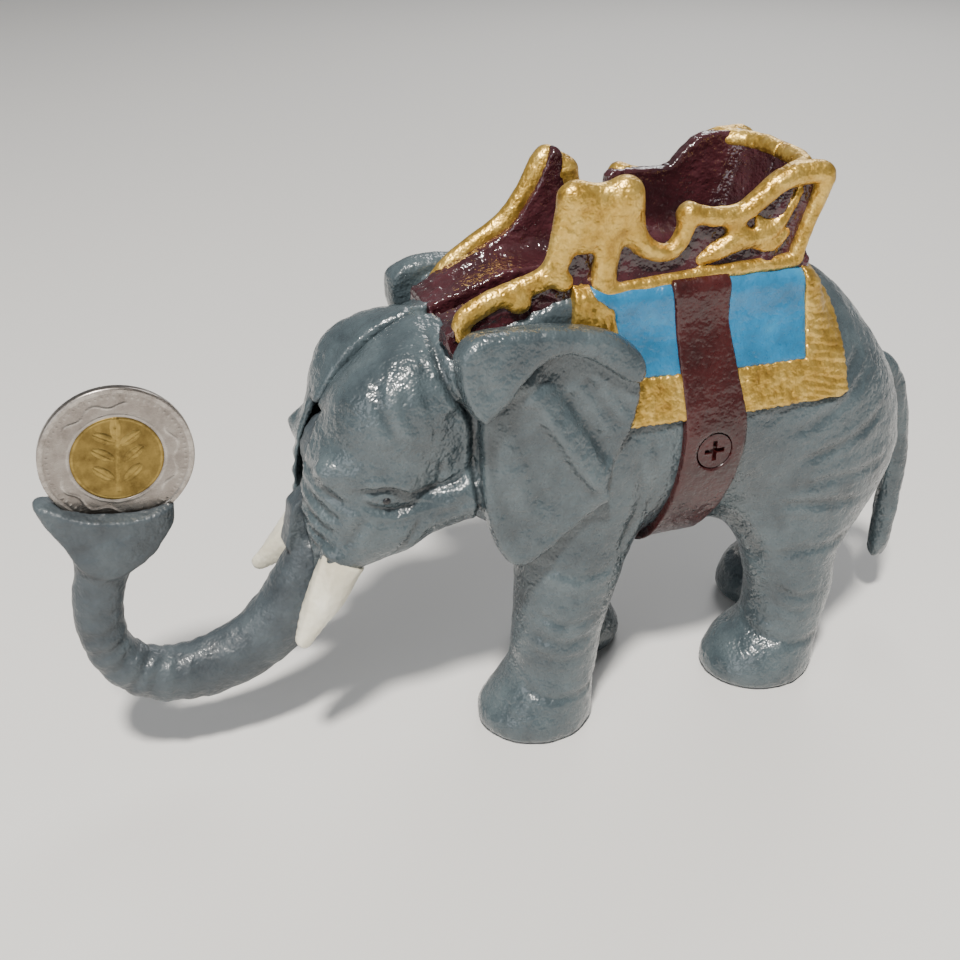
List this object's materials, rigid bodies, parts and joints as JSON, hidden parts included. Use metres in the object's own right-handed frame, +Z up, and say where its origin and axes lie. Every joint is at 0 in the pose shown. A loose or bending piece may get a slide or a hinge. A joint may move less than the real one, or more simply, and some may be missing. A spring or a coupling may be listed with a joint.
{
  "type": "figural mechanical coin bank",
  "caption": "Painted cast iron coin bank in the form of an elephant with an open howdah; lifting the tail swings the trunk and its coin over the head into the slot.",
  "frame": {"origin": "on the ground under the middle of the bounding box", "axes": "-X is the way the elephant faces, +X towards the tail, -Y its left flank, +Z up"},
  "size_m": [0.1948, 0.0508, 0.1196],
  "materials": {
    "grey_paint": "gloss enamel over rough cast iron",
    "dark_grey_paint": "satin enamel over rough cast iron",
    "steel": "plain",
    "painted_screw": "gloss enamel",
    "coin_silver": "struck",
    "coin_bronze": "struck",
    "blue_paint": "gloss enamel",
    "maroon_paint": "gloss enamel",
    "gold_paint": "metallic paint",
    "ivory_paint": "gloss enamel"
  },
  "bodies": {
    "body": {"left_body_half": "grey_paint", "right_body_half": "grey_paint", "trunk_pivot_pin": "steel", "tail_pivot_pin": "steel", "body_screw": "painted_screw", "lock_washer": "steel", "square_nut": "steel"},
    "trunk": {"trunk": "dark_grey_paint"},
    "tail": {"tail": "grey_paint"},
    "rod": {"push_rod": "steel"},
    "coin": {"coin_ring": "coin_silver", "coin_core": "coin_bronze"}
  },
  "joints": [
    {"name": "tail_lift", "type": "hinge", "parent": "body", "child": "tail", "pos_m": [0.074, 0, 0.062], "axis": [0, -1, 0], "range_deg": [0, 45]},
    {"name": "rod_slide", "type": "slide", "parent": "body", "child": "rod", "axis": [-1, 0, 0], "range_m": [0, 0.00697]},
    {"name": "trunk_lift", "type": "hinge", "parent": "body", "child": "trunk", "pos_m": [-0.038, 0, 0.066], "axis": [0, 1, 0], "range_deg": [0, 95.01]},
    {"name": "coin_slide", "type": "slide", "parent": "trunk", "child": "coin", "axis": [0.2079, 0, 0.9781], "range_m": [0, 0.012]}
  ],
  "couplings": [
    {"joint": "rod_slide", "follows": "tail_lift", "m_per_rad": 0.0088667},
    {"joint": "trunk_lift", "follows": "tail_lift", "ratio": 2.1111}
  ]
}
